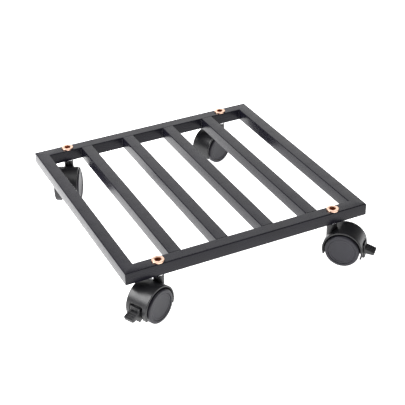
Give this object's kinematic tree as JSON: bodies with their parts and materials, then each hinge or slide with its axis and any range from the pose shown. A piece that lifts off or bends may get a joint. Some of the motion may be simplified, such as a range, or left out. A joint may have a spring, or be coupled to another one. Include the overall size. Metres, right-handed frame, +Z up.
{
  "type": "cpu holder",
  "caption": "Low square rolling stand for a computer case: welded square-tube frame with flush slats on twin-wheel swivel castors, the front ones with brake pedals.",
  "frame": {"origin": "on the floor, in the middle of the outline that the parked stand takes up; the middle of the square frame is 4.2 mm to the right of it and 12.5 mm behind it", "axes": "+X to the right and +Y to the back, along the frame's rails; +Z up, away from the floor"},
  "size_m": [0.3085, 0.3419, 0.0666],
  "materials": {
    "black_powder_coat": "semi-gloss black powder coat on steel tube",
    "copper_plate": "bright copper-coloured plating",
    "zinc_plate": "bright zinc plating",
    "hood_nylon": "satin moulded black nylon",
    "wheel_nylon": "matte moulded black nylon"
  },
  "bodies": {
    "frame": {"front_rail": "black_powder_coat", "rear_rail": "black_powder_coat", "left_rail": "black_powder_coat", "right_rail": "black_powder_coat", "slat_1": "black_powder_coat", "slat_2": "black_powder_coat", "slat_3": "black_powder_coat", "slat_4": "black_powder_coat", "slat_welds": "black_powder_coat", "corner_welds": "black_powder_coat", "insert_nuts": "copper_plate", "front_left_stem": "zinc_plate", "front_left_stem_ring": "zinc_plate", "front_right_stem": "zinc_plate", "front_right_stem_ring": "zinc_plate", "rear_left_stem": "zinc_plate", "rear_left_stem_ring": "zinc_plate", "rear_right_stem": "zinc_plate", "rear_right_stem_ring": "zinc_plate"},
    "front_left_castor": {"front_left_hood": "hood_nylon", "front_left_axle": "zinc_plate", "front_left_axle_rings": "zinc_plate", "front_left_pedal_pin": "zinc_plate"},
    "front_left_left_roller": {"front_left_left_wheel": "wheel_nylon", "front_left_left_cover": "wheel_nylon"},
    "front_left_right_roller": {"front_left_right_wheel": "wheel_nylon", "front_left_right_cover": "wheel_nylon"},
    "front_left_brake": {"front_left_pedal": "hood_nylon"},
    "front_right_castor": {"front_right_hood": "hood_nylon", "front_right_axle": "zinc_plate", "front_right_axle_rings": "zinc_plate", "front_right_pedal_pin": "zinc_plate"},
    "front_right_left_roller": {"front_right_left_wheel": "wheel_nylon", "front_right_left_cover": "wheel_nylon"},
    "front_right_right_roller": {"front_right_right_wheel": "wheel_nylon", "front_right_right_cover": "wheel_nylon"},
    "front_right_brake": {"front_right_pedal": "hood_nylon"},
    "rear_left_castor": {"rear_left_hood": "hood_nylon", "rear_left_axle": "zinc_plate", "rear_left_axle_rings": "zinc_plate"},
    "rear_left_left_roller": {"rear_left_left_wheel": "wheel_nylon", "rear_left_left_cover": "wheel_nylon"},
    "rear_left_right_roller": {"rear_left_right_wheel": "wheel_nylon", "rear_left_right_cover": "wheel_nylon"},
    "rear_right_castor": {"rear_right_hood": "hood_nylon", "rear_right_axle": "zinc_plate", "rear_right_axle_rings": "zinc_plate"},
    "rear_right_left_roller": {"rear_right_left_wheel": "wheel_nylon", "rear_right_left_cover": "wheel_nylon"},
    "rear_right_right_roller": {"rear_right_right_wheel": "wheel_nylon", "rear_right_right_cover": "wheel_nylon"}
  },
  "joints": [
    {"name": "front_left_swivel", "type": "hinge", "parent": "frame", "child": "front_left_castor", "pos_m": [-0.1048, -0.13, 0.0375], "axis": [0, 0, 1], "continuous": true},
    {"name": "front_left_left_spin", "type": "hinge", "parent": "front_left_castor", "child": "front_left_left_roller", "pos_m": [-0.11418, -0.14726, 0.02], "axis": [0.4384, -0.8988, 0], "continuous": true},
    {"name": "front_left_right_spin", "type": "hinge", "parent": "front_left_castor", "child": "front_left_right_roller", "pos_m": [-0.12418, -0.12677, 0.02], "axis": [0.4384, -0.8988, 0], "continuous": true},
    {"name": "front_left_brake_press", "type": "hinge", "parent": "front_left_castor", "child": "front_left_brake", "pos_m": [-0.13453, -0.1445, 0.02833], "axis": [0.4384, -0.8988, 0], "range_deg": [0, 12]},
    {"name": "front_right_swivel", "type": "hinge", "parent": "frame", "child": "front_right_castor", "pos_m": [0.1132, -0.13, 0.0375], "axis": [0, 0, 1], "continuous": true},
    {"name": "front_right_left_spin", "type": "hinge", "parent": "front_right_castor", "child": "front_right_left_roller", "pos_m": [0.13257, -0.13325, 0.02], "axis": [0.7071, 0.7071, 0], "continuous": true},
    {"name": "front_right_right_spin", "type": "hinge", "parent": "front_right_castor", "child": "front_right_right_roller", "pos_m": [0.11645, -0.14937, 0.02], "axis": [0.7071, 0.7071, 0], "continuous": true},
    {"name": "front_right_brake_press", "type": "hinge", "parent": "front_right_castor", "child": "front_right_brake", "pos_m": [0.13659, -0.15339, 0.02833], "axis": [0.7071, 0.7071, 0], "range_deg": [0, 12]},
    {"name": "rear_left_swivel", "type": "hinge", "parent": "frame", "child": "rear_left_castor", "pos_m": [-0.1048, 0.155, 0.0375], "axis": [0, 0, 1], "continuous": true},
    {"name": "rear_left_left_spin", "type": "hinge", "parent": "rear_left_castor", "child": "rear_left_left_roller", "pos_m": [-0.10225, 0.13552, 0.02], "axis": [0.8829, -0.4695, 0], "continuous": true},
    {"name": "rear_left_right_spin", "type": "hinge", "parent": "rear_left_castor", "child": "rear_left_right_roller", "pos_m": [-0.12238, 0.14622, 0.02], "axis": [0.8829, -0.4695, 0], "continuous": true},
    {"name": "rear_right_swivel", "type": "hinge", "parent": "frame", "child": "rear_right_castor", "pos_m": [0.1132, 0.155, 0.0375], "axis": [0, 0, 1], "continuous": true},
    {"name": "rear_right_left_spin", "type": "hinge", "parent": "rear_right_castor", "child": "rear_right_left_roller", "pos_m": [0.10206, 0.13882, 0.02], "axis": [0.342, -0.9397, 0], "continuous": true},
    {"name": "rear_right_right_spin", "type": "hinge", "parent": "rear_right_castor", "child": "rear_right_right_roller", "pos_m": [0.09427, 0.16024, 0.02], "axis": [0.342, -0.9397, 0], "continuous": true}
  ]
}
